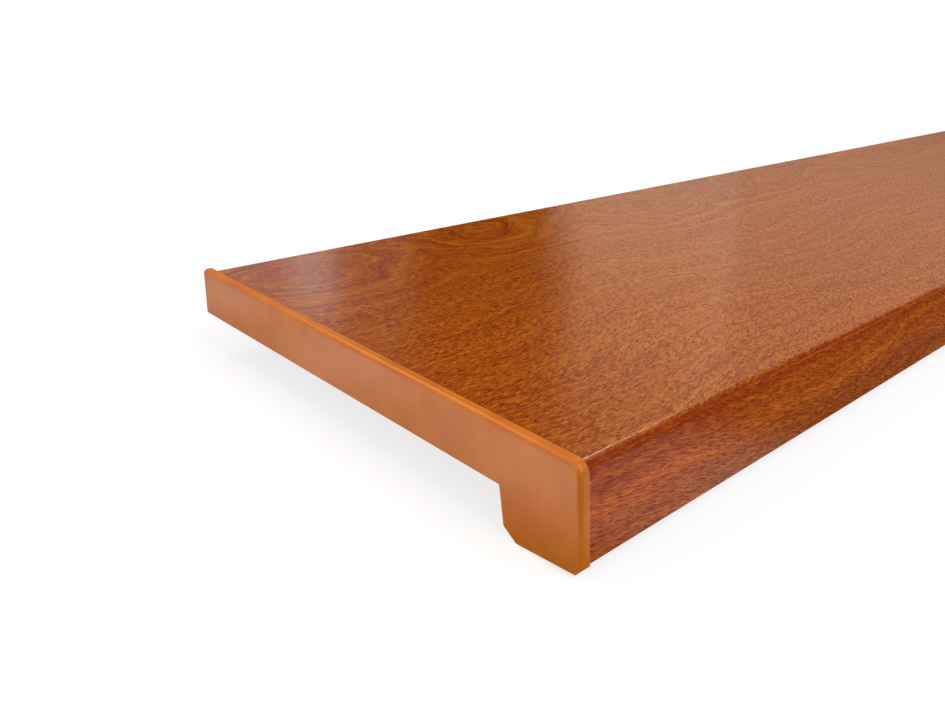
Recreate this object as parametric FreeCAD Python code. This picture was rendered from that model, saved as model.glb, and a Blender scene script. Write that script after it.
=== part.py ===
import FreeCAD, Part
import math
import os

# Window sill board: a hollow extruded profile with a front nose and a clip-on cap on each end.
# Sizes are in millimetres and rakes in degrees. The section is drawn with y running back from the
# top front corner and z running down from the top face, then moved so that the origin is the
# centre of the bedding face under the slab.

# Board
board_length = 1200.0
board_width = 250.0
slab_height = 20.0
nose_height = 37.0
nose_depth = 32.0
nose_back_height = 16.0
heel_run = 5.5
front_rake = 7.0
foot_rake = 5.0
back_rake = 12.0
top_front_round = 3.5
foot_front_round = 0.8
step_round = 1.0

# Walls of the hollow section
outer_wall = 2.2
web_wall = 1.4
slab_chambers = 8

# End caps
cap_plate = 1.75
cap_overhang = 1.6
cap_lip = 3.0
cap_foot_bevel = 2.7
cap_edge_round = 2.0
lip_edge_round = 0.5
lip_clearance = 0.1

# Tongues that hold a cap in the chambers
tongue_length = 12.0
tongue_wall = 1.5
tongue_clearance = 0.2

# How far a cutting shape runs past what it cuts, and how near a point counts as being on a line
cut_margin = 1.0
same_place = 0.01

front_slope = math.tan(math.radians(front_rake))
foot_slope = math.tan(math.radians(foot_rake))
back_slope = math.tan(math.radians(back_rake))
half_length = board_length / 2.0
bed_centre = (nose_depth + board_width) / 2.0


def point(y, z):
    """A point of the section in the frame of the whole part."""
    return FreeCAD.Vector(0.0, y - bed_centre, z + slab_height)


def outline(corners):
    """Closed wire through corners given as (y, z, radius), with an arc at each rounded corner."""
    edges = []
    starts = []
    ends = []
    count = len(corners)
    for index in range(count):
        y, z, radius = corners[index]
        here = point(y, z)
        before = point(corners[index - 1][0], corners[index - 1][1])
        after = point(corners[(index + 1) % count][0], corners[(index + 1) % count][1])
        to_before = (before - here).normalize()
        to_after = (after - here).normalize()
        if radius > 0.0:
            half_angle = to_before.getAngle(to_after) / 2.0
            reach = radius / math.tan(half_angle)
            first = here + to_before * reach
            last = here + to_after * reach
            inward = (to_before + to_after).normalize()
            middle = here + inward * (radius / math.sin(half_angle) - radius)
            edges.append(Part.Arc(first, middle, last).toShape())
        else:
            first = here
            last = here
        starts.append(first)
        ends.append(last)
    for index in range(count):
        edges.append(Part.makeLine(ends[index], starts[(index + 1) % count]))
    return Part.Wire(Part.__sortEdges__(edges))


def extrude(face, start, end):
    """A section face swept along the length from one x to another."""
    moved = face.copy()
    moved.translate(FreeCAD.Vector(start, 0.0, 0.0))
    return moved.extrude(FreeCAD.Vector(end - start, 0.0, 0.0))


def strip(y_low, z_low, y_high, z_high):
    """An upright rectangle of the section."""
    corners = [
        (y_low, z_low, 0.0),
        (y_high, z_low, 0.0),
        (y_high, z_high, 0.0),
        (y_low, z_high, 0.0),
    ]
    return Part.Face(outline(corners))


os.makedirs("parts", exist_ok=True)

# Outline of the board: flat slab, raked nose hanging at the front, bevelled heel.
foot_front_y = -nose_height * front_slope
heel_high_z = -slab_height - nose_back_height
heel_high_y = nose_depth - nose_back_height * back_slope
heel_low_y = heel_high_y - heel_run
heel_low_z = -nose_height - foot_slope * (heel_low_y - foot_front_y)
board_corners = [
    (board_width, 0.0, 0.0),
    (0.0, 0.0, top_front_round),
    (foot_front_y, -nose_height, foot_front_round),
    (heel_low_y, heel_low_z, 0.0),
    (heel_high_y, heel_high_z, 0.0),
    (nose_depth, -slab_height, step_round),
    (board_width, -slab_height, 0.0),
]
board_face = Part.Face(outline(board_corners))

# Chambers: the space inside the outer wall, divided by upright webs and one web across the nose.
hollow = board_face.makeOffset2D(-outer_wall, 2)
chamber_pitch = (board_width - outer_wall - nose_depth + web_wall) / slab_chambers
webs = [strip(nose_depth - outer_wall, -slab_height, nose_depth, 0.0)]
for number in range(1, slab_chambers):
    web_y = nose_depth + number * chamber_pitch - web_wall
    webs.append(strip(web_y, -slab_height, web_y + web_wall, 0.0))
nose_web_z = -slab_height + outer_wall
webs.append(strip(foot_front_y, nose_web_z - web_wall, nose_depth, nose_web_z))
chambers = hollow.cut(webs).Faces
chambers.sort(key=lambda face: face.CenterOfMass.y)

board = extrude(board_face, -half_length, half_length)
for chamber in chambers:
    board = board.cut(extrude(chamber, -half_length - cut_margin, half_length + cut_margin))
board = board.removeSplitter()
board.exportStep("parts/sill_board.step")

# Outline of a cap: the board's outline moved out all round, its foot cut by a bevel at the front.
front_out = FreeCAD.Vector(0.0, -math.cos(math.radians(front_rake)), math.sin(math.radians(front_rake)))
foot_out = FreeCAD.Vector(0.0, -math.sin(math.radians(foot_rake)), -math.cos(math.radians(foot_rake)))
up_the_front = FreeCAD.Vector(0.0, front_out.z, -front_out.y)
along_the_foot = FreeCAD.Vector(0.0, -foot_out.z, foot_out.y)
tip_move = (front_out + foot_out) * (cap_overhang / (1.0 + front_out.dot(foot_out)))
cap_tip = point(foot_front_y, -nose_height) + tip_move
bevel_high = cap_tip + up_the_front * cap_foot_bevel
bevel_low = cap_tip + along_the_foot * cap_foot_bevel
bevel_away = (front_out + foot_out) * cap_foot_bevel
bevel_corners = [bevel_high, bevel_low, bevel_low + bevel_away, bevel_high + bevel_away, bevel_high]
cap_face = board_face.makeOffset2D(cap_overhang, 2).cut(Part.Face(Part.makePolygon(bevel_corners))).Faces[0]

# Cap for the end at the lowest x: a plate, with a lip over the board's top, front and foot.
end_x = -half_length
skin_face = board_face.makeOffset2D(lip_clearance, 2)
behind_nose = strip(heel_low_y, 2.0 * heel_low_z, 2.0 * board_width, 0.0)
plate = extrude(cap_face, end_x - cap_plate, end_x)
lip = extrude(cap_face, end_x, end_x + cap_lip)
lip = lip.cut(extrude(skin_face, end_x - cut_margin, end_x + cap_lip + cut_margin))
lip = lip.cut(extrude(behind_nose, end_x - cut_margin, end_x + cap_lip + cut_margin))
cap = plate.fuse(lip).removeSplitter()


def rim_edges(shape, x):
    """Edges of the cap's outer side at one x that run along the top and down the front to the bevel."""
    found = []
    side = cap_face.OuterWire.copy()
    side.translate(FreeCAD.Vector(x, 0.0, 0.0))
    for edge in shape.Edges:
        middle = edge.valueAt((edge.FirstParameter + edge.LastParameter) / 2.0)
        on_top = middle.z > slab_height
        on_front = middle.y < -bed_centre and middle.z > bevel_high.z
        if not on_top and not on_front:
            continue
        if max(vertex.distToShape(side)[0] for vertex in edge.Vertexes) > same_place:
            continue
        if Part.Vertex(middle).distToShape(side)[0] < same_place:
            found.append(edge)
    return found


cap = cap.makeFillet(cap_edge_round, rim_edges(cap, end_x - cap_plate))
cap = cap.makeFillet(lip_edge_round, rim_edges(cap, end_x + cap_lip))

# Hollow tongues behind the plate, each a close fit inside a chamber of the board: the foot of the
# nose, and the first, the middle and the last chamber of the slab.
for number in (0, 2, 2 + slab_chambers // 2, 1 + slab_chambers):
    outer = chambers[number].makeOffset2D(-tongue_clearance, 2)
    inner = outer.makeOffset2D(-tongue_wall, 2)
    tongue = extrude(outer.cut(inner), end_x - cap_plate / 2.0, end_x + tongue_length)
    cap = cap.fuse(tongue)
cap = cap.removeSplitter()
cap.exportStep("parts/end_cap_left.step")

# The other cap is the mirror image.
other_cap = cap.mirror(FreeCAD.Vector(0.0, 0.0, 0.0), FreeCAD.Vector(1.0, 0.0, 0.0))
other_cap.exportStep("parts/end_cap_right.step")
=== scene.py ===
import bmesh
import bpy
import math
from mathutils import Matrix, Vector


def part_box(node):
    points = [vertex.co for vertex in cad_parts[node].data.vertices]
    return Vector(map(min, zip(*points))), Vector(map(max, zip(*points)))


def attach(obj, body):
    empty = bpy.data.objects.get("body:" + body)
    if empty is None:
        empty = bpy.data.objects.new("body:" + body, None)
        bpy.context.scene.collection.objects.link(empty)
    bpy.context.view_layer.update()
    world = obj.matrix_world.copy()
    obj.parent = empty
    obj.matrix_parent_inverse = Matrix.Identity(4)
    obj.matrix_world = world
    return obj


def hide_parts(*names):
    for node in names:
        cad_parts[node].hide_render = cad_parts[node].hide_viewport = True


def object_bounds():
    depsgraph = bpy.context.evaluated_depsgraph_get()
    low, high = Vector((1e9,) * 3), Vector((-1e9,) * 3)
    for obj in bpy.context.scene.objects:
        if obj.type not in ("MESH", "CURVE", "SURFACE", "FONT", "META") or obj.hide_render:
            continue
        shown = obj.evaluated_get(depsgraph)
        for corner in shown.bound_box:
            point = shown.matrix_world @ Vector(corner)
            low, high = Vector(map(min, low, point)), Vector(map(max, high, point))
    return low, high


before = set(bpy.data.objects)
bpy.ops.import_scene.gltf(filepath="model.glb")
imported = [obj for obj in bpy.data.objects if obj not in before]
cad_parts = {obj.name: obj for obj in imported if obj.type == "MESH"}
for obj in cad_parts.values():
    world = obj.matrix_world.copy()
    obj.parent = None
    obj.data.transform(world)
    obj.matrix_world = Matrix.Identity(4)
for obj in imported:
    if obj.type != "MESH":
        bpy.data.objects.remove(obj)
cad_low, cad_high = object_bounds()

# The board: one length of hollow rigid plastic profile, drawn through a die with a flat slab, a nose
# hanging along the front and thin webs inside. A printed wood-grain film is hot-wrapped over its top,
# front and foot; the sides that meet the wall and the window stay bare brown plastic.
MM = 0.001
board_low, board_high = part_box("sill_board")
board_length = board_high.x - board_low.x
board_back = board_high.y
board_top = board_high.z
board_width = 250.0 * MM
board_front = board_back - board_width
slab_height = 20.0 * MM
nose_height = 37.0 * MM
nose_depth = 32.0 * MM
nose_back_height = 16.0 * MM
heel_run = 5.5 * MM
front_slope = math.tan(math.radians(7.0))
foot_slope = math.tan(math.radians(5.0))
back_slope = math.tan(math.radians(12.0))
top_front_round = 3.5 * MM
foot_front_round = 0.8 * MM
step_round = 1.0 * MM
outer_wall = 2.2 * MM
web_wall = 1.4 * MM
slab_chambers = 8
round_steps = 14
smooth_angle = 0.5

# The section is drawn with y back from the top front corner and z down from the top face.
foot_front_y = -nose_height * front_slope
heel_high_y = nose_depth - nose_back_height * back_slope
heel_low_y = heel_high_y - heel_run
heel_low_z = -nose_height - foot_slope * (heel_low_y - foot_front_y)
board_section = [
    Vector((board_width, 0.0)),
    Vector((0.0, 0.0)),
    Vector((foot_front_y, -nose_height)),
    Vector((heel_low_y, heel_low_z)),
    Vector((heel_high_y, -slab_height - nose_back_height)),
    Vector((nose_depth, -slab_height)),
    Vector((board_width, -slab_height)),
]
section_rounds = [0.0, top_front_round, foot_front_round, 0.0, 0.0, step_round, 0.0]


def crossing(first, second):
    """Point where two lines of the section meet, each given by a point and a direction."""
    turn = first[1].x * second[1].y - first[1].y * second[1].x
    gap = second[0] - first[0]
    return first[0] + first[1] * ((gap.x * second[1].y - gap.y * second[1].x) / turn)


def moved_sides(section, steps):
    """Corners of a closed section after each of its sides moves outwards by its own step."""
    lines = []
    for number, corner in enumerate(section):
        way = section[(number + 1) % len(section)] - corner
        outwards = Vector((way.y, -way.x)).normalized()
        lines.append((corner + outwards * steps[number], way))
    return [crossing(lines[number - 1], line) for number, line in enumerate(lines)]


# Chambers: two in the nose, above and below its web, then a row along the slab.
inside = moved_sides(board_section, [-outer_wall] * len(board_section))
nose_web_z = -slab_height + outer_wall
level_way = Vector((1.0, 0.0))
web_top = (Vector((0.0, nose_web_z)), level_way)
web_bottom = (Vector((0.0, nose_web_z - web_wall)), level_way)
inner_front = (inside[1], inside[2] - inside[1])
inner_back = (inside[4], inside[5] - inside[4])
nose_wall_y = nose_depth - outer_wall
chamber_loops = [
    [crossing(web_bottom, inner_front), inside[2], inside[3], inside[4], crossing(web_bottom, inner_back)],
    [
        inside[1],
        crossing(web_top, inner_front),
        Vector((nose_wall_y, nose_web_z)),
        Vector((nose_wall_y, -outer_wall)),
    ],
]
chamber_pitch = (board_width - outer_wall - nose_depth + web_wall) / slab_chambers
for number in range(slab_chambers):
    near_y = nose_depth + number * chamber_pitch
    far_y = near_y + chamber_pitch - web_wall
    chamber_loops.append(
        [
            Vector((far_y, -outer_wall)),
            Vector((near_y, -outer_wall)),
            Vector((near_y, -slab_height + outer_wall)),
            Vector((far_y, -slab_height + outer_wall)),
        ]
    )

# The section as bare loops of corners, each with the radius of its round.
section_points = []
section_edges = []
point_rounds = []
section_loops = [(board_section, section_rounds)]
section_loops += [(loop, [0.0] * len(loop)) for loop in chamber_loops]
for loop, rounds in section_loops:
    start = len(section_points)
    for number, corner in enumerate(loop):
        section_points.append((corner.x + board_front, corner.y + board_top, 0.0))
        section_edges.append((start + number, start + (number + 1) % len(loop)))
        point_rounds.append(rounds[number])
section_mesh = bpy.data.meshes.new("sill section")
section_mesh.from_pydata(section_points, section_edges, [])
section_mesh.attributes.new("round", "FLOAT", "POINT").data.foreach_set("value", point_rounds)
section = bpy.data.objects.new("sill section", section_mesh)
bpy.context.scene.collection.objects.link(section)


class Wire:
    """One output of a node; arithmetic on it adds Math nodes to the same tree."""

    def __init__(self, out):
        self.out = out

    def node(self, kind, settings=None, values=None, output=0):
        """A new node of the same tree: its settings are set first, then its sockets are set or linked."""
        tree = self.out.id_data
        made = tree.nodes.new(kind)
        for name, value in (settings or {}).items():
            if name == "stops":
                ramp = made.color_ramp
                while len(ramp.elements) < len(value):
                    ramp.elements.new(0.5)
                for element, (place, colour) in zip(ramp.elements, value):
                    element.position = place
                    element.color = colour
            else:
                setattr(made, name, value)
        for name, value in (values or {}).items():
            socket = made.inputs[name]
            if isinstance(value, Wire):
                tree.links.new(value.out, socket)
            else:
                socket.default_value = value
        return Wire(made.outputs[output])

    def feed(self, shader, socket):
        """Link this output to a socket of a shader."""
        self.out.id_data.links.new(self.out, shader.inputs[socket])

    def maths(self, operation, other=0.0):
        """A Math node on this output and another output or a number."""
        return self.node("ShaderNodeMath", {"operation": operation}, {0: self, 1: other})

    def __add__(self, other):
        return self.maths("ADD", other)

    __radd__ = __add__

    def __sub__(self, other):
        return self.maths("SUBTRACT", other)

    def __rsub__(self, other):
        return self.node("ShaderNodeMath", {"operation": "SUBTRACT"}, {0: other, 1: self})

    def __mul__(self, other):
        return self.maths("MULTIPLY", other)

    __rmul__ = __mul__

    def __truediv__(self, other):
        return self.maths("DIVIDE", other)

    def __pow__(self, other):
        return self.maths("POWER", other)


def start_material(name):
    """An empty material: its Principled shader and a wire that carries the object's own coordinates."""
    material = bpy.data.materials.new(name)
    material.use_nodes = True
    tree = material.node_tree
    shader = tree.nodes["Principled BSDF"]
    return material, shader, Wire(tree.nodes.new("ShaderNodeTexCoord").outputs["Object"])


def split(vector):
    """The three numbers of a vector."""
    parts = vector.node("ShaderNodeSeparateXYZ", {}, {0: vector}).out.node
    return [Wire(out) for out in parts.outputs]


def smooth_step(value, low, high):
    """0 below low, 1 above high, and an even curve between."""
    return value.node(
        "ShaderNodeMapRange",
        {"interpolation_type": "SMOOTHSTEP"},
        {"Value": value, "From Min": low, "From Max": high, "To Min": 0.0, "To Max": 1.0},
    )


def tint(base, colour, amount, way="MIX"):
    """A base colour turned towards another, or multiplied by it, by an amount from 0 to 1."""
    # A Mix node's colour sockets go by number: 0 is the factor, 6 and 7 the colours and 2 the result.
    settings = {"data_type": "RGBA", "blend_type": way}
    return amount.node("ShaderNodeMix", settings, {0: amount, 6: base, 7: colour}, 2)


# The film's print, in millimetres along the board from its near end and across it from the front edge.
# On the front the dashes are a little longer and lean more.
front_starts = -1.0
front_drawn_out = 0.2
front_slant = 0.6
film, film_shader, place = start_material("wood film")
x_at, y_at, z_at = split(place)
along = (x_at - board_low.x) * (1.0 / MM)
across = (y_at + z_at - (board_front + board_top)) * (1.0 / MM)
from_edge = across.maths("ABSOLUTE")
front = across.maths("LESS_THAN", front_starts)
run = along * (1.0 - front * front_drawn_out)
slant = along * (1.0 + front * front_slant)

# Steps through the noise, along and across, that keep each layer of the print clear of the others.
layer_step_along = 7.3
layer_step_across = 3.1


def streaks(line, long_mm, wide_mm, layer, detail=2.0, rough=0.5, lean=0.0):
    """Noise drawn out along a line of the grain, or leaning from it; a wave is long_mm by wide_mm."""
    where = line.node(
        "ShaderNodeCombineXYZ",
        {},
        {
            "X": run / long_mm + layer * layer_step_along,
            "Y": (line - slant * lean) / wide_mm + layer * layer_step_across,
            "Z": 0.0,
        },
    )
    return where.node(
        "ShaderNodeTexNoise",
        {"noise_dimensions": "2D"},
        {"Vector": where, "Scale": 1.0, "Detail": detail, "Roughness": rough},
    )


def swing(noise, width):
    """Noise, which lies about 0.5, brought about zero and given a width."""
    return (noise - 0.5) * width


front_grain = 500.0
grain_wander = 16.0
grain = from_edge + front * front_grain
grain = grain + swing(streaks(grain, long_mm=140.0, wide_mm=70.0, layer=1.0, detail=1.0), grain_wander)
mottle = streaks(grain, long_mm=40.0, wide_mm=5.0, layer=3.0, lean=0.03)
fibres = streaks(grain, long_mm=7.5, wide_mm=1.5, layer=4.0, detail=5.0, rough=0.78, lean=0.12)
pores = streaks(grain, long_mm=4.0, wide_mm=0.65, layer=5.0, detail=1.0, lean=0.14)
flecks = streaks(grain, long_mm=4.0, wide_mm=0.7, layer=6.0, detail=1.0, lean=0.14)

# Growth rings: straight lines along the board that bend into long ovals by one line near the back, where
# the log was sawn close to its heart. The ovals grow longer along the board, and their strength comes and
# goes with the repeat of the print.
full_turn = 2.0 * math.pi
heart_middle = 228.0
heart_swing = 8.0
heart_wander = 12.0
oval_pitch = 136.0
oval_middle = 174.0
oval_depth = 24.0
oval_swing = 15.0
depth_wander = 26.0
print_repeat = 900.0
print_strongest = 100.0
drawn_out = 1.0 - smooth_step(along, 200.0, 1200.0) * 0.55
oval_turn = (along - oval_middle) * drawn_out * (full_turn / oval_pitch)
depth = oval_depth - oval_turn.maths("COSINE") * oval_swing
depth = depth + swing(streaks(grain, long_mm=60.0, wide_mm=24.0, layer=7.0, detail=3.0), depth_wander)
print_turn = (along - print_strongest) * (full_turn / print_repeat)
strength = 0.4 + print_turn.maths("COSINE") * 0.35
heart_line = heart_middle + (oval_turn * 0.5).maths("COSINE") * heart_swing
aside = grain - heart_line + swing(streaks(grain, long_mm=42.0, wide_mm=14.0, layer=11.0), heart_wander)
aside = aside.maths("ABSOLUTE")
by_heart = 1.0 - smooth_step(aside, 25.0, 80.0)
ring = aside + ((aside * aside + depth * depth) ** 0.5 - aside) * by_heart
rings = streaks(ring, long_mm=260.0, wide_mm=5.2, layer=2.0, rough=0.6)
threads = streaks(ring, long_mm=24.0, wide_mm=2.0, layer=10.0, detail=3.0, rough=0.65)
lines = smooth_step(streaks(ring, long_mm=520.0, wide_mm=2.6, layer=9.0, detail=0.0), 0.58, 0.80)
# Painted shade over the front rounding, which stands for the dark room that the rounding mirrors.
painted_rounding_shade = smooth_step(across * -1.0, -2.2, 0.0) * (1.0 - smooth_step(from_edge, 3.0, 9.0))

# Browns of the print from dark to light, by a tone that the layers add up to, each with its own weight.
# Over the front rounding painted shade takes the tone down.
middle_tone = 0.455
ring_weight = 0.75
mottle_weight = 0.35
line_weight = 0.22
rounding_shade_weight = 0.2
thread_weight = 0.8
fibre_weight = 1.9
fibre_loss = 0.6
print_browns = [
    (0.15, (0.245, 0.033, 0.0033, 1.0)),
    (0.42, (0.340, 0.065, 0.0040, 1.0)),
    (0.58, (0.400, 0.091, 0.0043, 1.0)),
    (0.85, (0.505, 0.145, 0.0055, 1.0)),
]
tone = middle_tone + swing(rings, ring_weight + by_heart * strength) + swing(mottle, mottle_weight)
tone = tone + lines * line_weight - painted_rounding_shade * rounding_shade_weight
tone = tone + swing(threads, by_heart * thread_weight)
tone = tone + swing(fibres, fibre_weight - by_heart * fibre_loss)
wood = tone.node("ShaderNodeValToRGB", {"stops": print_browns}, {"Fac": tone})

# Short dashes over it: gold flecks, which are fainter on the front, and dark pores. Both fade by the heart.
gold_brown = (0.55, 0.178, 0.0055, 1.0)
pore_brown = (0.190, 0.024, 0.0045, 1.0)
dash_starts = 0.50
dash_full = 0.74
on_top = smooth_step(across, -0.5, 2.0)
gold = smooth_step(flecks, dash_starts, dash_full)
dark = smooth_step(pores, dash_starts, dash_full)
wood = tint(wood, gold_brown, gold * (0.85 - (1.0 - on_top) * 0.45 - by_heart * 0.4))
wood = tint(wood, pore_brown, dark * (0.95 - by_heart * 0.4))

# The front is lighter, most of all half-way down: painted light lifts the whole front, and its rise and
# fall down from the edge is a band of the print. It is redder by the near end, and redder over the
# rounding, where painted shade darkens it.
painted_front_light = (1.48, 1.42, 1.0, 1.0)
front_red = (1.0, 0.82, 1.0, 1.0)
painted_light_and_print_band = 0.55 + smooth_step(from_edge, 13.0, 21.0) * 0.3 - smooth_step(from_edge, 22.0, 30.0) * 0.6
wood = tint(wood, painted_front_light, painted_light_and_print_band * front, "MULTIPLY")
by_end = 1.0 - smooth_step(along, 30.0, 120.0)
redder = (by_end * front).maths("MAXIMUM", painted_rounding_shade)
wood = tint(wood, front_red, redder, "MULTIPLY")
wood.feed(film_shader, "Base Color")

# Clear lacquer over the print, thinner on the front, with the fibres and pores embossed in it.
front_lacquer = 0.45
lacquer = (front_lacquer + on_top * (1.0 - front_lacquer)) * (0.45 + fibres * 1.2 - dark * 0.3)
lacquer.feed(film_shader, "Coat Weight")
film_shader.inputs["Coat Roughness"].default_value = 0.19
film_shader.inputs["Coat IOR"].default_value = 1.5
film_shader.inputs["Specular IOR Level"].default_value = 0.0
film_shader.inputs["Roughness"].default_value = 0.6
relief = fibres - dark * 0.6
emboss = relief.node("ShaderNodeBump", {}, {"Strength": 0.12, "Distance": 0.2 * MM, "Height": relief})
emboss.feed(film_shader, "Normal")

# Bare plastic of the profile: dull brown, with faint lines along it from the die.
bare_brown = (0.20, 0.060, 0.016, 1.0)
die_line_brown = (0.27, 0.085, 0.024, 1.0)
die_lines_per_metre = 900.0
bare, bare_shader, place = start_material("bare profile plastic")
y_at, z_at = split(place)[1:]
die_lines = place.node(
    "ShaderNodeTexNoise",
    {"noise_dimensions": "1D"},
    {"W": (y_at + z_at) * die_lines_per_metre, "Scale": 1.0, "Detail": 2.0},
)
brown = tint(bare_brown, die_line_brown, smooth_step(die_lines, 0.35, 0.65))
brown.feed(bare_shader, "Base Color")
bare_shader.inputs["Roughness"].default_value = 0.5
drawn_lines = place.node("ShaderNodeBump", {}, {"Strength": 0.2, "Distance": 0.1 * MM, "Height": die_lines})
drawn_lines.feed(bare_shader, "Normal")

# Nodes that turn the flat section into the board: round its corners, fill it, draw it out to length. The
# strips of the rounds, told by their area in square metres, are shaded smooth.
merge_distance = 0.002 * MM
widest_strip = 0.002
lengthwise_facing = 0.5
film_facing = 0.6
foot_drop = nose_height - slab_height
extrusion = bpy.data.node_groups.new("extruded sill", "GeometryNodeTree")
sockets = {}
for name, kind in (
    ("Geometry", "NodeSocketGeometry"),
    ("Length", "NodeSocketFloat"),
    ("Start", "NodeSocketFloat"),
    ("Steps in a round", "NodeSocketInt"),
    ("Bed height", "NodeSocketFloat"),
    ("Film", "NodeSocketMaterial"),
    ("Bare plastic", "NodeSocketMaterial"),
):
    sockets[name] = extrusion.interface.new_socket(name, in_out="INPUT", socket_type=kind).identifier
extrusion.interface.new_socket("Geometry", in_out="OUTPUT", socket_type="NodeSocketGeometry")
entry = extrusion.nodes.new("NodeGroupInput")
given = {socket.name: Wire(socket) for socket in entry.outputs if socket.name}
curve = given["Geometry"].node("GeometryNodeMeshToCurve", {}, {0: given["Geometry"]})
radius = curve.node("GeometryNodeInputNamedAttribute", {"data_type": "FLOAT"}, {"Name": "round"})
curve = curve.node(
    "GeometryNodeFilletCurve",
    {"mode": "POLY"},
    {"Curve": curve, "Count": given["Steps in a round"], "Radius": radius, "Limit Radius": False},
)
face = curve.node("GeometryNodeFillCurve", {"mode": "TRIANGLES"}, {"Curve": curve})
upwards = curve.node("ShaderNodeCombineXYZ", {}, {"Z": given["Length"]})
drawn = face.node(
    "GeometryNodeExtrudeMesh",
    {"mode": "FACES"},
    {"Mesh": face, "Offset": upwards, "Offset Scale": 1.0, "Individual": False},
)
near_end = face.node("GeometryNodeFlipFaces", {}, {"Mesh": face})
whole = drawn.node("GeometryNodeJoinGeometry")
for part in (drawn, near_end):
    extrusion.links.new(part.out, whole.out.node.inputs[0])
whole = whole.node("GeometryNodeMergeByDistance", {}, {"Geometry": whole, "Distance": merge_distance})
shift = whole.node("ShaderNodeCombineXYZ", {}, {"X": given["Start"]})
whole = whole.node(
    "GeometryNodeTransform",
    {},
    {"Geometry": whole, "Translation": shift, "Rotation": (math.pi / 2.0, 0.0, math.pi / 2.0)},
)
facing = split(whole.node("GeometryNodeInputNormal"))
lengthwise = facing[0].maths("ABSOLUTE").maths("LESS_THAN", lengthwise_facing)
area = whole.node("GeometryNodeInputMeshFaceArea")
rounded = lengthwise * area.maths("LESS_THAN", widest_strip)
bend = whole.node("GeometryNodeInputMeshEdgeAngle", {}, {}, "Unsigned Angle")
even = bend.maths("LESS_THAN", smooth_angle)
for domain, smooth in (("FACE", rounded), ("EDGE", even)):
    whole = whole.node(
        "GeometryNodeSetShadeSmooth", {"domain": domain}, {"Geometry": whole, "Shade Smooth": smooth}
    )
whole = whole.node("GeometryNodeRealizeInstances", {}, {"Geometry": whole})
whole = whole.node("GeometryNodeSetMaterial", {}, {"Geometry": whole, "Material": given["Bare plastic"]})
spot = split(whole.node("GeometryNodeInputPosition"))
wrapped = (facing[2] - facing[1]).maths("GREATER_THAN", film_facing)
foot = (given["Bed height"] - spot[2]).maths("GREATER_THAN", foot_drop)
wrapped = wrapped.maths("MAXIMUM", foot) * lengthwise
whole = whole.node(
    "GeometryNodeSetMaterial", {}, {"Geometry": whole, "Selection": wrapped, "Material": given["Film"]}
)
leave = extrusion.nodes.new("NodeGroupOutput")
extrusion.links.new(whole.out, leave.inputs[0])

draw = section.modifiers.new("draw", "NODES")
draw.node_group = extrusion
for name, value in (
    ("Length", board_length),
    ("Start", board_low.x),
    ("Steps in a round", round_steps),
    ("Bed height", board_top - slab_height),
    ("Film", film),
    ("Bare plastic", bare),
):
    draw[sockets[name]] = value
drawn_section = section.evaluated_get(bpy.context.evaluated_depsgraph_get())
board = bpy.data.objects.new("wrapped_sill_board", bpy.data.meshes.new_from_object(drawn_section))
bpy.context.scene.collection.objects.link(board)
bpy.data.objects.remove(section)
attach(board, "root")
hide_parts("sill_board")

# End caps: thin satin plates moulded in orange-brown plastic, one for each sawn end. A rounded rim laps
# over the top and the front of the board and a plain lip over its foot. Short tongues behind the plate
# push into the chambers and hold it.
cap_plate = 1.75 * MM
cap_overhang = 1.6 * MM
cap_lip = 3.0 * MM
cap_foot_bevel = 2.7 * MM
cap_edge_round = 2.0 * MM
lip_edge_round = 0.5 * MM
lip_clearance = 0.1 * MM
tongue_length = 12.0 * MM
tongue_wall = 1.5 * MM
tongue_clearance = 0.2 * MM
tongue_chambers = (0, 2, 2 + slab_chambers // 2, 1 + slab_chambers)
cap_section = moved_sides(board_section, [cap_overhang] * len(board_section))
bevel_high = cap_section[2] + (cap_section[1] - cap_section[2]).normalized() * cap_foot_bevel
bevel_low = cap_section[2] + (cap_section[3] - cap_section[2]).normalized() * cap_foot_bevel


def round_corner(corners, number, radius):
    """Points along the arc that rounds one corner of a section."""
    here = corners[number]
    to_before = (corners[number - 1] - here).normalized()
    to_after = (corners[number + 1] - here).normalized()
    half = to_before.angle(to_after) / 2.0
    centre = here + (to_before + to_after).normalized() * (radius / math.sin(half))
    first = here + to_before * (radius / math.tan(half)) - centre
    sweep = math.pi - 2.0 * half
    points = []
    for step in range(round_steps + 1):
        spoke = first.copy()
        spoke.rotate(Matrix.Rotation(sweep * step / round_steps, 2))
        points.append(centre + spoke)
    return points


def rim_line(inset):
    """Line of the cap's outer side with its top and front drawn in: along the top to the heel."""
    rim = cap_overhang - inset
    corners = moved_sides(board_section, [rim, rim] + [cap_overhang] * (len(board_section) - 2))
    front_side = (corners[1], corners[2] - corners[1])
    bevel_start = crossing(front_side, (bevel_high, bevel_low - bevel_high))
    arc = round_corner(corners, 1, top_front_round + rim)
    return [corners[0]] + arc + [bevel_start, bevel_low, corners[3]]


def skin_line():
    """Line of the lip's inner side, a little clear of the board, from the back of the top to the heel."""
    corners = moved_sides(board_section, [lip_clearance] * len(board_section))
    cut = (foot_front_round + lip_clearance) / 2.0
    tip_high = corners[2] + (corners[1] - corners[2]).normalized() * cut
    tip_low = corners[2] + (corners[3] - corners[2]).normalized() * cut
    arc = round_corner(corners, 1, top_front_round + lip_clearance)
    return [corners[0]] + arc + [tip_high, tip_low, corners[3]]


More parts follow.
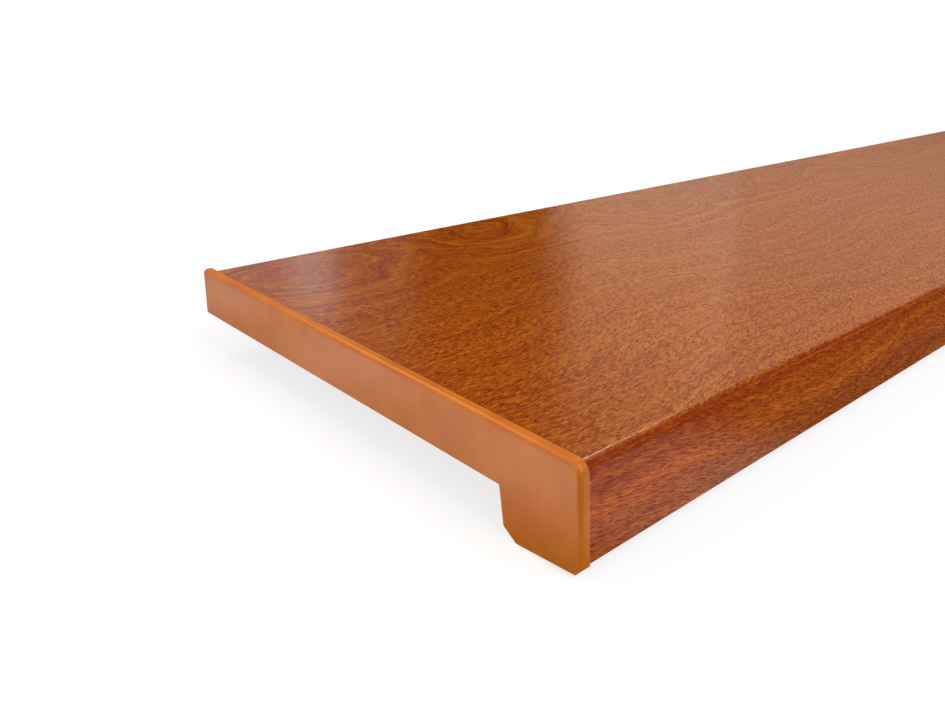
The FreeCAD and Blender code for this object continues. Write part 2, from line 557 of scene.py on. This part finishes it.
def make_cap(name, end, material):
    """A cap for the end of the board at the given side, -1 or 1."""
    end_x = board_length / 2.0 * end
    lines = []
    for step in range(round_steps + 1):
        turn = math.pi / 2.0 * step / round_steps
        depth = cap_edge_round * (1.0 - math.cos(turn)) - cap_plate
        lines.append((depth, rim_line(cap_edge_round * (1.0 - math.sin(turn)))))
    for step in range(round_steps + 1):
        turn = math.pi / 2.0 * step / round_steps
        depth = cap_lip - lip_edge_round * (1.0 - math.sin(turn))
        lines.append((depth, rim_line(lip_edge_round * (1.0 - math.cos(turn)))))
    lines.append((cap_lip, skin_line()))
    lines.append((0.0, skin_line()))

    shape = bmesh.new()

    def corner(depth, spot):
        return shape.verts.new((end_x - end * depth, spot.x + board_front, spot.y + board_top))

    rings = [[corner(depth, spot) for spot in line] for depth, line in lines]
    outer_rest = [corner(-cap_plate, spot) for spot in cap_section[4:]]
    inner_rest = [corner(0.0, spot) for spot in cap_section[4:]]
    edge_rounds = set(range(round_steps)) | set(range(round_steps + 1, 2 * round_steps + 1))
    for number in range(len(rings) - 1):
        near, far = rings[number], rings[number + 1]
        for one in range(len(near) - 1):
            quad = shape.faces.new((near[one], far[one], far[one + 1], near[one + 1]))
            on_corner = 1 <= one <= round_steps
            on_foot = one > round_steps + 1
            on_rim = number <= 2 * round_steps and not on_foot
            quad.smooth = on_rim and (on_corner or number in edge_rounds)
    shape.faces.new(rings[0] + outer_rest)
    for one in range(len(outer_rest) - 1):
        shape.faces.new((outer_rest[one], outer_rest[one + 1], inner_rest[one + 1], inner_rest[one]))
    shape.faces.new([ring[0] for ring in rings] + [inner_rest[-1], outer_rest[-1]])
    shape.faces.new([ring[-1] for ring in rings] + [inner_rest[0], outer_rest[0]])

    back = rings[-1] + inner_rest
    back_edges = [shape.edges.get((back[one - 1], back[one])) for one in range(len(back))]
    for number in tongue_chambers:
        loop = chamber_loops[number]
        walls = []
        for inset in (tongue_clearance, tongue_clearance + tongue_wall):
            spots = moved_sides(loop, [-inset] * len(loop))
            walls.append([corner(0.0, spot) for spot in spots])
            walls.append([corner(tongue_length, spot) for spot in spots])
        outer_base, outer_tip, inner_base, inner_tip = walls
        for one in range(len(loop)):
            shape.faces.new((outer_base[one - 1], outer_base[one], outer_tip[one], outer_tip[one - 1]))
            shape.faces.new((outer_tip[one - 1], outer_tip[one], inner_tip[one], inner_tip[one - 1]))
            shape.faces.new((inner_tip[one - 1], inner_tip[one], inner_base[one], inner_base[one - 1]))
            back_edges.append(shape.edges.get((outer_base[one - 1], outer_base[one])))
        shape.faces.new(inner_base)
    bmesh.ops.triangle_fill(shape, use_beauty=True, use_dissolve=False, edges=back_edges)
    bmesh.ops.recalc_face_normals(shape, faces=shape.faces)
    for edge in shape.edges:
        edge.smooth = edge.calc_face_angle(0.0) < smooth_angle
    mesh = bpy.data.meshes.new(name)
    shape.to_mesh(mesh)
    shape.free()
    mesh.materials.append(material)
    cap = bpy.data.objects.new(name, mesh)
    bpy.context.scene.collection.objects.link(cap)
    return cap


# Moulded plastic: a satin skin a little cloudy in colour and gloss, and not quite flat.
cap_orange = (0.60, 0.150, 0.0060, 1.0)
cap_pale_orange = (0.66, 0.180, 0.0100, 1.0)
clouds_per_metre = 55.0
specks_per_metre = 900.0
cap_plastic, cap_shader, place = start_material("cap plastic")
clouds = place.node("ShaderNodeTexNoise", {}, {"Vector": place, "Scale": clouds_per_metre, "Detail": 3.0})
specks = place.node("ShaderNodeTexNoise", {}, {"Vector": place, "Scale": specks_per_metre, "Detail": 2.0})
orange = tint(cap_orange, cap_pale_orange, smooth_step(clouds, 0.35, 0.65))
orange.feed(cap_shader, "Base Color")
(0.22 + clouds * 0.1 + specks * 0.06).feed(cap_shader, "Roughness")
cap_shader.inputs["Specular IOR Level"].default_value = 0.34
hollows = place.node("ShaderNodeBump", {}, {"Strength": 0.25, "Distance": 0.4 * MM, "Height": clouds})
hollows.feed(cap_shader, "Normal")

for name, end, node in (
    ("rimmed_cap_left", -1.0, "end_cap_left"),
    ("rimmed_cap_right", 1.0, "end_cap_right"),
):
    cap = make_cap(name, end, cap_plastic)
    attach(cap, "root")
    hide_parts(node)

# The room: a plain pale floor under the nose, which the camera sees as white with the object's shadow.
# Its sizes are in metres.
floor_reach = 30.0
floor_z = cad_low.z - 0.1 * MM
floor_corners = [(-1.0, -1.0), (1.0, -1.0), (1.0, 1.0), (-1.0, 1.0)]
floor_points = [(x * floor_reach, y * floor_reach, floor_z) for x, y in floor_corners]
floor_mesh = bpy.data.meshes.new("floor")
floor_mesh.from_pydata(floor_points, [], [(0, 1, 2, 3)])
floor = bpy.data.objects.new("floor", floor_mesh)
bpy.context.scene.collection.objects.link(floor)
floor_finish, floor_shader, place = start_material("floor")
floor_shader.inputs["Base Color"].default_value = (0.30, 0.30, 0.30, 1.0)
floor_shader.inputs["Roughness"].default_value = 1.0
floor_shader.inputs["Specular IOR Level"].default_value = 0.0


def in_sight(wire):
    """1 for what the camera sees, straight or through something clear, and 0 for every other ray."""
    rays = wire.node("ShaderNodeLightPath").out.node.outputs
    return Wire(rays["Is Camera Ray"]) + Wire(rays["Is Transmission Ray"])


glow_by_object = 0.76
far_off = place.node("ShaderNodeVectorMath", {"operation": "LENGTH"}, {0: place}, "Value")
white = in_sight(place) * (glow_by_object + smooth_step(far_off, 0.8, 3.0) * (1.0 - glow_by_object))
glow = place.node("ShaderNodeEmission", {}, {"Strength": white})
lit = place.node("ShaderNodeAddShader", {}, {0: Wire(floor_shader.outputs[0]), 1: glow})

# Painted reflection: seen only in reflections, the floor glows though no lamp lights it. The glow is dim,
# but pale beside the near end, where it ripples and fades towards the back, and before the first stretch of
# the front; close to the cap it fades out, a painted contact shade in the cap's reflections.
floor_dim = 0.03
end_pale = 2.7
end_fade = 4.6
end_faded = 0.45
ripple_swing = 0.4
ripple_pitch = 0.135
ripple_crest = 0.056
front_pale = 0.75
nose_pale = 0.1
nose_pale_by_end = 0.2
x_at, y_at = split(place)[:2]
past_end = x_at - board_low.x
past_front = y_at - board_front
ripple = (past_front - ripple_crest) * (full_turn / ripple_pitch)
beside_end = (end_pale - past_front * end_fade).maths("MAXIMUM", end_faded)
beside_end = beside_end + ripple.maths("COSINE") * ripple_swing
beside_end = beside_end * smooth_step(past_end * -1.0, -0.005, 0.053)
beside_end = beside_end * smooth_step(past_front, -0.03, 0.02)
along_front = smooth_step(past_end, -0.005, 0.045)
before_front = along_front - smooth_step(past_end, 0.10, 0.18)
under_nose = along_front * smooth_step(past_front, -0.08, -0.03)
painted_reflection_level = floor_dim + beside_end + before_front * front_pale
painted_reflection_level = painted_reflection_level + under_nose * (nose_pale + before_front * nose_pale_by_end)
# A glow seen only in reflections: painted reflection, not light from a lamp.
pale = place.node("ShaderNodeEmission", {}, {"Strength": painted_reflection_level})
mirrored = place.node("ShaderNodeLightPath", {}, {}, "Is Glossy Ray")
surface = place.node("ShaderNodeMixShader", {}, {0: mirrored, 1: lit, 2: pale})
surface.feed(floor_finish.node_tree.nodes["Material Output"], "Surface")
floor_mesh.materials.append(floor_finish)

# Light of the room: dim beyond the board, brighter overhead and on the near side. The camera sees white.
dim_light = 0.005
overhead_light = 0.5
near_light = 0.3
room = bpy.data.worlds.new("room")
bpy.context.scene.world = room
room.use_nodes = True
room_tree = room.node_tree
sky = Wire(room_tree.nodes.new("ShaderNodeTexCoord").outputs["Generated"])
sky_x, sky_y, sky_z = split(sky)
near_side = sky_x * -0.45 + sky_y * -0.9
room_light = dim_light + smooth_step(sky_z, 0.45, 0.95) * overhead_light
room_light = room_light + smooth_step(near_side, 0.1, 0.9) * near_light
seen = in_sight(sky)
backdrop = room_tree.nodes["Background"]
(room_light * (1.0 - seen) + seen).feed(backdrop, "Strength")
backdrop.inputs["Color"].default_value = (1.0, 1.0, 1.0, 1.0)

# Soft lamps stand round the near end. Beyond the board are the windows and walls that the film mirrors,
# with a dark gap between the left ones and the right ones. A small lamp lights the front edge, a low wall
# on the right gives the front rounding its sheen, and two fills stand on the near side.
near_corner = Vector((board_low.x, board_front, board_top))
lamp_distance = 5.0


def soft_lamp(name, azimuth, elevation, wide, tall, level, colour):
    """A soft lamp seen from the near corner in one direction, some degrees wide and tall, of even glow."""
    turn = math.radians(azimuth)
    rise = math.radians(elevation)
    away = Vector((math.sin(turn) * math.cos(rise), math.cos(turn) * math.cos(rise), math.sin(rise)))
    light = bpy.data.lights.new(name, "AREA")
    light.shape = "RECTANGLE"
    light.size = 2.0 * lamp_distance * math.tan(math.radians(wide / 2.0))
    light.size_y = 2.0 * lamp_distance * math.tan(math.radians(tall / 2.0))
    light.energy = level * math.pi * light.size * light.size_y
    light.color = colour
    lamp = bpy.data.objects.new(name, light)
    lamp.location = near_corner + away * lamp_distance
    lamp.rotation_mode = "QUATERNION"
    lamp.rotation_quaternion = (-away).to_track_quat("-Z", "Y")
    lamp.visible_camera = False
    bpy.context.scene.collection.objects.link(lamp)


# Each lamp by its azimuth, elevation, width and height in degrees, its glow and its colour.
daylight = (1.0, 1.0, 1.0)
warm_light = (1.0, 0.85, 0.72)
for lamp_sizes in (
    ("left window", 0.6, 18.2, 61.0, 12.0, 0.48, daylight),
    ("left window pane", 31.1, 17.3, 3.0, 3.5, 1.1, daylight),
    ("left window curtain", 35.2, 19.0, 6.0, 18.0, 0.14, daylight),
    ("left window top", -12.0, 47.0, 52.0, 15.0, 3.6, (1.0, 0.80, 0.62)),
    ("left wall", -45.0, 12.0, 50.0, 24.0, 0.95, daylight),
    ("warm wall", 55.7, 20.0, 10.6, 12.5, 0.81, (1.0, 0.65, 0.41)),
    ("low warm wall", 54.8, 10.0, 12.5, 9.0, 0.57, (1.0, 0.82, 0.65)),
    ("right window", 78.9, 16.5, 35.0, 23.0, 0.58, (1.0, 0.68, 0.50)),
    ("edge lamp", 60.0, 37.0, 9.5, 8.0, 6.0, warm_light),
    ("right wall", 120.0, 8.0, 32.0, 14.0, 0.4, warm_light),
    ("front fill", 160.0, 44.0, 50.0, 44.0, 2.6, daylight),
    ("left fill", 275.0, 25.0, 36.0, 30.0, 3.0, daylight),
):
    soft_lamp(*lamp_sizes)

# The camera stands near the capped end, a little above the board, as in the photograph.
photo_width = 945.0
focal_pixels = 842.159
sensor_width = 36.0
camera_from_corner = Vector((-0.18421, -0.14293, 0.13511))
camera_data = bpy.data.cameras.new("camera")
camera_data.sensor_width = sensor_width
camera_data.lens = sensor_width * focal_pixels / photo_width
camera_data.clip_start = 0.01
camera_data.clip_end = 100.0
camera = bpy.data.objects.new("camera", camera_data)
azimuth = math.radians(-43.5037)
elevation = math.radians(23.0)
roll = math.radians(2.2081)
back_way = Vector(
    (math.sin(azimuth) * math.cos(elevation), -math.cos(azimuth) * math.cos(elevation), math.sin(elevation))
)
level_right = Vector((math.cos(azimuth), math.sin(azimuth), 0.0))
level_up = back_way.cross(level_right)
right_way = level_right * math.cos(roll) + level_up * math.sin(roll)
up_way = level_up * math.cos(roll) - level_right * math.sin(roll)
turned = Matrix((right_way, up_way, back_way)).transposed().to_4x4()
camera.matrix_world = Matrix.Translation(near_corner + camera_from_corner) @ turned
bpy.context.scene.collection.objects.link(camera)
bpy.context.scene.camera = camera
bpy.context.scene.view_settings.view_transform = "Standard"
